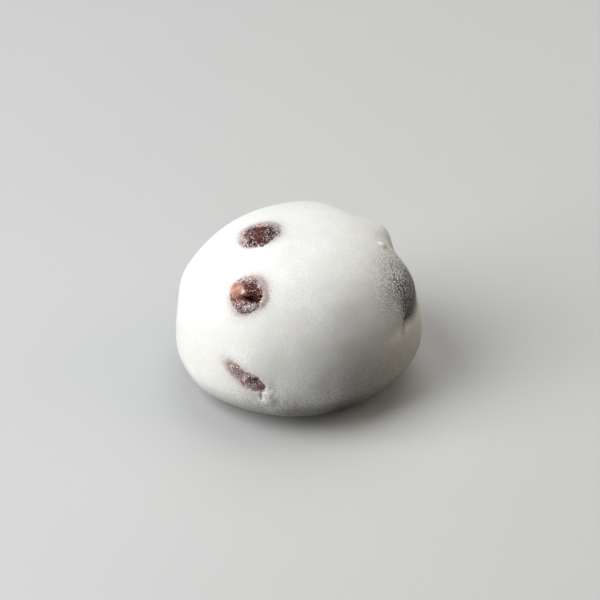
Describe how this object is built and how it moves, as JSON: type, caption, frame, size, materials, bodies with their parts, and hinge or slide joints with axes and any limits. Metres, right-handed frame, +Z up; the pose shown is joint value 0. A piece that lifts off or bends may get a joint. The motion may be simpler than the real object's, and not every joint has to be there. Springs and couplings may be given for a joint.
{
  "type": "bean mochi rice cake",
  "caption": "Soft dome-shaped rice cake, dusted with starch, with whole cooked peas showing through and under its skin; it rests on a flat foot.",
  "frame": {"origin": "centre of the flat foot that the cake rests on", "axes": "+Z up out of the crown; -Y is the side with the most peas; +X is the side with the fold and the pea under the skin"},
  "size_m": [0.0574, 0.055, 0.0408],
  "materials": {
    "rice_cake": "soft, translucent white, dry and dusted with starch",
    "cooked_pea": "dark red-brown skin, slightly moist, speckled with starch"
  },
  "bodies": {
    "root": {"mochi": "rice_cake", "bean_top": "cooked_pea", "bean_middle": "cooked_pea", "bean_low": "cooked_pea", "bean_side": "cooked_pea", "bean_back": "cooked_pea", "bean_far": "cooked_pea"}
  },
  "joints": []
}
